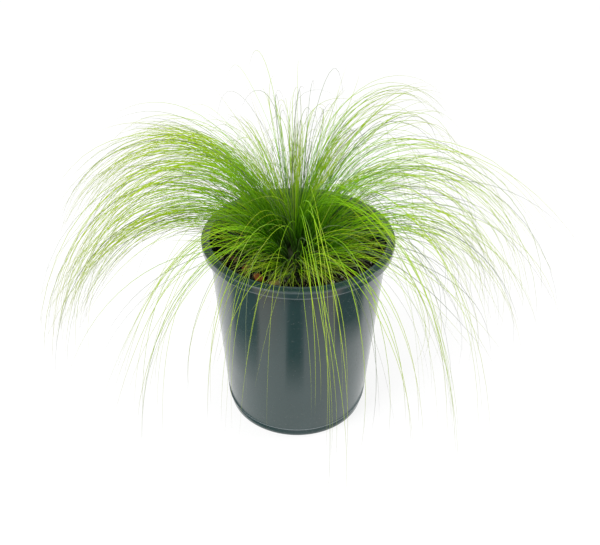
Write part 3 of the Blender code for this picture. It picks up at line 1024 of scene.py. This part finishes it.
# Leaves as three-sided tubes along their paths. A ring's points lie at three turns
# about the path, in the level direction across it and the one square to both. The
# tip is one point and the root is one triangle.
def leafTubes(path, heading, slope, halfWidth, column):
    leaves, rings = path.shape[:2]
    along = np.linspace(0, 1, rings)
    across = np.stack([-np.sin(heading), np.cos(heading), np.zeros_like(heading)], 2)
    square = np.stack([-np.sin(slope) * np.cos(heading), -np.sin(slope) * np.sin(heading),
                       np.cos(slope)], 2)
    radius = halfWidth[:, None] * leafWidth(along)[None]
    turns = np.radians([90.0, 210.0, 330.0])
    ring = path[:, :, None] + radius[:, :, None, None] * (
        across[:, :, None] * np.cos(turns)[None, None, :, None]
        + square[:, :, None] * np.sin(turns)[None, None, :, None])
    body = ring[:, :-1].reshape(leaves, -1, 3)
    tip = path[:, -1:]
    points = np.concatenate([body, tip], 1)
    perLeaf = points.shape[1]
    step, side = np.meshgrid(np.arange(rings - 2), np.arange(3), indexing="ij")
    step, side = step.ravel(), side.ravel()
    after = (side + 1) % 3
    quads = np.stack([3 * step + side, 3 * step + after, 3 * (step + 1) + after,
                      3 * (step + 1) + side], 1)
    last = 3 * (rings - 2)
    triangles = np.array([(last, last + 1, perLeaf - 1), (last + 1, last + 2, perLeaf - 1),
                          (last + 2, last, perLeaf - 1), (2, 1, 0)])
    base = (np.arange(leaves) * perLeaf)[:, None, None]
    allQuads = (quads[None] + base).reshape(-1, 4)
    allTriangles = (triangles[None] + base).reshape(-1, 3)
    # strips of the map: u is the leaf's tone column and its side, v is the way along
    edge0, edge1 = side / 3, (side + 1) / 3
    v0, v1 = along[step], along[step + 1]
    quadUv = np.stack([edge0, v0, edge1, v0, edge1, v1, edge0, v1], 1).reshape(-1, 2)
    vLast = along[-2]
    triangleUv = np.array([(0, vLast), (1 / 3, vLast), (1 / 6, 1), (1 / 3, vLast), (2 / 3, vLast),
                           (1 / 2, 1), (2 / 3, vLast), (1, vLast), (5 / 6, 1), (0.9, 0), (0.5, 0.004),
                           (0.1, 0)])
    columns = tuftSet["columns"]

    def placed(uv):
        spread = np.repeat(uv[None], leaves, 0)
        spread[..., 0] = (column[:, None] + 0.08 + 0.84 * spread[..., 0]) / columns
        return spread.reshape(-1, 2)

    return points.reshape(-1, 3), allQuads, allTriangles, np.vstack([placed(quadUv), placed(triangleUv)])


# Leaves scattered about tufts: tuft is a dictionary of arrays with one value to each
# tuft, spread the widths of the scatter. Most leaves are nearly as long as their tuft.
# gather draws the tips together: a leaf that starts off to one side turns back twice
# as far over its length, and one that starts steeper bends more.
def scatterLeaves(tuft, leaves, spread, rng):
    owner = np.repeat(np.arange(len(tuft["azimuth"])), leaves)
    size = len(owner)
    leaf = {key: tuft[key][owner] + spread[key] * rng.normal(size=size)
            for key in ("azimuth", "lift", "bend", "turn", "rootRadius", "tone", "late")}
    leaf["turn"] -= 2.0 * spread["gather"] * (leaf["azimuth"] - tuft["azimuth"][owner])
    leaf["bend"] += 1.6 * spread["gather"] * (leaf["lift"] - tuft["lift"][owner])
    shortest, longest = spread["length"]
    leaf["length"] = tuft["length"][owner] * (shortest + (longest - shortest) * rng.beta(3.2, 1.6, size))
    leaf["rootRadius"] = np.clip(leaf["rootRadius"], 0.5 * mm, tuftSet["crownRadius"] - 1 * mm)
    leaf["rootAzimuth"] = tuft["azimuth"][owner] + spread["rootAzimuth"] * rng.normal(size=size)
    leaf["late"] = np.clip(leaf["late"], 0.7, 1.5)
    leaf["tone"] = np.clip(leaf["tone"], 0, 0.999)
    leaf["sway"] = spread["sway"] * rng.normal(size=size)
    leaf["halfWidth"] = spread["halfWidth"] * rng.uniform(0.55, 1.45, size)
    return leaf


# The leaves of one ring: tufts are scattered about their locks, and leaves about
# their tufts.
def ringLeaves(ring, firstNumber):
    rng = np.random.default_rng(ring["seed"])
    count = len(ring["tufts"])
    index = np.arange(count)
    number = firstNumber + index
    azimuth = ring["first"] + 360 / count * (index + 0.1 * wobble(number, 1))
    reach = bySide(tuftSet["sideReach"], azimuth)
    lock = {
        "azimuth": azimuth,
        "lift": ring["lift"] + 2.5 * wobble(number, 2),
        "length": ring["length"] * mm * reach * (1 + 0.05 * wobble(number, 3)),
        "bend": ring["bend"] + 5 * wobble(number, 4),
        "turn": tuftSet["lockTurn"] * wobble(number, 5),
        "rootRadius": np.full(count, ring["rootRadius"] * mm),
        "tone": np.full(count, ring["tone"]),
    }
    owner = np.repeat(index, ring["tufts"])
    tuft = {key: lock[key][owner] + tuftSpread[key] * rng.normal(size=len(owner)) for key in tuftSpread}
    tuft["length"] = lock["length"][owner] * (0.50 + 0.56 * rng.beta(3.2, 1.6, len(owner)))
    tuft["late"] = np.ones(len(owner))
    return scatterLeaves(tuft, ring["leaves"], leafSpread, rng)


def bundleLeaves(ringName, seed):
    rng = np.random.default_rng(seed + 200)
    rows = np.array([row[1:] for row in bundleSet if row[0] == ringName], float)
    names = ("azimuth", "lift", "length", "bend", "turn", "late", "rootRadius", "leaves")
    tuft = dict(zip(names, rows.T))
    tuft["length"] = tuft["length"] * mm
    tuft["rootRadius"] = tuft["rootRadius"] * mm
    tuft["tone"] = np.full(len(rows), 0.60)
    return scatterLeaves(tuft, tuft["leaves"].astype(int), bundleSpread, rng)


def stemLeaves():
    rng = np.random.default_rng(301)
    rows = np.array(stemSet, float)
    azimuth, lift, length, bend, rootRadius, leaves = rows.T
    tuft = {"azimuth": azimuth, "lift": lift, "length": length * mm, "bend": bend,
            "rootRadius": rootRadius * mm, "turn": np.zeros(len(rows)), "late": np.ones(len(rows)),
            "tone": np.full(len(rows), 0.46)}
    return scatterLeaves(tuft, leaves.astype(int), stemSpread, rng)


def lowLeaves():
    rng = np.random.default_rng(lowSet["seed"])
    count = lowSet["tufts"]
    tuft = {key: rng.uniform(*lowSet[key], count) for key in ("lift", "bend", "length", "rootRadius", "tone")}
    tuft["length"] = tuft["length"] * mm
    tuft["rootRadius"] = tuft["rootRadius"] * mm
    tuft["azimuth"] = (np.arange(count) + rng.uniform(0, 1, count)) * 360 / count
    tuft["turn"] = 15 * rng.normal(size=count)
    tuft["late"] = np.ones(count)
    return scatterLeaves(tuft, lowSet["leaves"], lowSpread, rng)


def meshLeaves(name, leaf, steps):
    path, heading, slope = leafPaths(leaf, steps)
    good = clearPaths(path)
    column = np.floor(leaf["tone"] * tuftSet["columns"])
    points, quads, triangles, uv = leafTubes(
        path[good], heading[good], slope[good], leaf["halfWidth"][good], column[good])
    print(name, "leaves", int(good.sum()), "left out", int((~good).sum()))
    return meshObject(name, points, [quads, triangles], uv)


leafColours = {
    # The dark root end of these ramps is partly the leaves' own darker base and partly painted shade deep in
    # the tuft.
    "green": [           # from the root to the tip
        (0.00, (0.030, 0.10, 0.001)),
        (0.12, (0.064, 0.24, 0.001)),
        (0.35, (0.26, 0.57, 0.004)),
        (0.60, (0.42, 0.60, 0.025)),
        (0.85, (0.38, 0.48, 0.07)),
        (1.00, (0.30, 0.33, 0.14)),
    ],
    "grey": [            # the same for leaves that have lost their colour further out
        (0.00, (0.030, 0.10, 0.001)),
        (0.15, (0.072, 0.23, 0.003)),
        (0.40, (0.21, 0.29, 0.09)),
        (1.00, (0.27, 0.28, 0.22)),
    ],
    "tone": [            # multiplied over both: dark, plain, yellow, a few dry
        (0.00, (0.80, 0.80, 0.80)),
        (0.30, (0.70, 0.80, 0.76)),
        (0.60, (1.0, 1.0, 0.9)),
        (0.90, (1.0, 0.97, 0.6)),
        (0.97, (1.0, 0.90, 0.8)),
        (1.00, (1.0, 0.82, 1.0)),
    ],
    "greyShare": [(0.0, (1.0, 1.0, 1.0)), (0.36, (1.0, 1.0, 1.0)), (0.44, (0.0, 0.0, 0.0))],
}


def leafMaterial():
    material, tree, shader = newMaterial("leafGreen")
    mapped = addNode(tree, "ShaderNodeUVMap", uv_map=bakeMap).outputs["UV"]
    split = addNode(tree, "ShaderNodeSeparateXYZ", {0: mapped})
    green = addRamp(tree, split.outputs["Y"], leafColours["green"])
    grey = addRamp(tree, split.outputs["Y"], leafColours["grey"])
    share = addRamp(tree, split.outputs["X"], leafColours["greyShare"])
    tone = addRamp(tree, split.outputs["X"], leafColours["tone"])
    tinted = addMix(tree, 1.0, addMix(tree, share, green, grey), tone, "MULTIPLY")
    # fine lengthwise ribs and slight blotches along each leaf
    ribs = addGroup(tree, grainGroup, {"Vector": mapped, "Stretch": (400.0, 7.0, 1.0), "Scale": 1.0,
                                       "Contrast": 1.8})
    shaded = addMix(tree, ribs, tuple([0.86] * 3), tuple([1.0] * 3))
    tree.links.new(addMix(tree, 1.0, tinted, shaded, "MULTIPLY"), shader.inputs["Base Color"])
    shader.inputs["Roughness"].default_value = 0.45
    shader.inputs["Specular IOR Level"].default_value = 0.15
    return material


def makeLeaves():
    material = leafMaterial()
    firstNumber = 1
    for ring in ringSet:
        parts = [ringLeaves(ring, firstNumber), bundleLeaves(ring["name"], ring["seed"])]
        if ring["name"] == "outer":
            parts += [lowLeaves(), stemLeaves()]
        leaf = {key: np.concatenate([part[key] for part in parts]) for key in parts[0]}
        piece = meshLeaves(f"leaves.{ring['name']}", leaf, tuftSet["steps"])
        piece.data.materials.append(material)
        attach(piece, "root")
        count = len(ring["tufts"])
        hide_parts(*[f"leaf_lock_{ring['name']}_{k + 1:02d}" for k in range(count)])
        firstNumber += count


makeLeaves()
print("leaves made")


# Crown: leaf bases on a low dome

crownSet = {
    "sheaths": 520,
    "length": (9 * mm, 22 * mm),
    "halfWidth": 0.75 * mm,
    "steps": 6,
    "sides": 48,
    "seed": 61,
    "base": (0.035, 0.050, 0.010),
    "green": (0.040, 0.12, 0.006),
}


# The dome: radius and height from the crown's formula, its edge straight down.
def crownDome():
    radius = tuftSet["crownRadius"] * np.linspace(0, 0.97, 9)
    low = mixSet["top"] + tuftSet["gap"] - 2.0 * mm
    profile = np.vstack([np.stack([radius, crownHeight(radius) - 1.0 * mm], 1),
                         [(radius[-1], low), (0, low)]])
    return turnedGrid(profile, crownSet["sides"], tuftSet["x"], tuftSet["y"])


def makeCrown():
    rng = np.random.default_rng(crownSet["seed"])
    count = crownSet["sheaths"]
    share = np.sqrt(rng.uniform(0, 1, count))
    azimuth = rng.uniform(0, 360, count)
    low, high = crownSet["length"]
    leaf = {
        "azimuth": azimuth + 8 * rng.normal(size=count),
        "lift": 88 - 36 * share + 4 * rng.normal(size=count),
        "bend": 12 + 8 * rng.uniform(size=count),
        "turn": 6 * rng.normal(size=count),
        "length": low + (high - low) * rng.uniform(0, 1, count),
        "rootRadius": share * (tuftSet["crownRadius"] - 0.6 * mm),
        "rootAzimuth": azimuth,
        "sway": np.zeros(count),
        "late": np.ones(count),
        "tone": np.clip(0.5 + 0.25 * rng.normal(size=count), 0, 0.999),
        "halfWidth": crownSet["halfWidth"] * rng.uniform(0.6, 1.2, count),
    }
    path, heading, slope = leafPaths(leaf, crownSet["steps"])
    column = np.floor(leaf["tone"] * tuftSet["columns"])
    points, quads, triangles, uv = leafTubes(path, heading, slope, leaf["halfWidth"], column)
    dome, domeQuads, domeTriangles, domeQuadUv, domeTriangleUv = crownDome()
    domeQuadUv, domeTriangleUv = domeQuadUv * 0.02, domeTriangleUv * 0.02
    piece = meshObject(
        "crownSheaths", np.vstack([points, dome]),
        [quads, triangles, domeQuads + len(points), domeTriangles + len(points)],
        np.vstack([uv, domeQuadUv, domeTriangleUv]))
    material, tree, shader = newMaterial("crownSheath")
    mapped = addNode(tree, "ShaderNodeUVMap", uv_map=bakeMap).outputs["UV"]
    split = addNode(tree, "ShaderNodeSeparateXYZ", {0: mapped})
    along = addRamp(tree, split.outputs["Y"], [(0.0, crownSet["base"]), (0.55, crownSet["green"]),
                                               (1.0, tuple(1.6 * v for v in crownSet["green"]))])
    fibre = addGroup(tree, grainGroup, {"Vector": mapped, "Stretch": (300.0, 4.0, 1.0), "Scale": 1.0,
                                        "Contrast": 2.0})
    shaded = addMix(tree, fibre, tuple([0.6] * 3), tuple([1.0] * 3))
    tree.links.new(addMix(tree, 1.0, along, shaded, "MULTIPLY"), shader.inputs["Base Color"])
    shader.inputs["Roughness"].default_value = 0.6
    addBump(tree, shader, fibre, 0.4, 0.2 * mm)
    piece.data.materials.append(material)
    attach(piece, "root")
    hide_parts("crown")


makeCrown()
print("crown made")
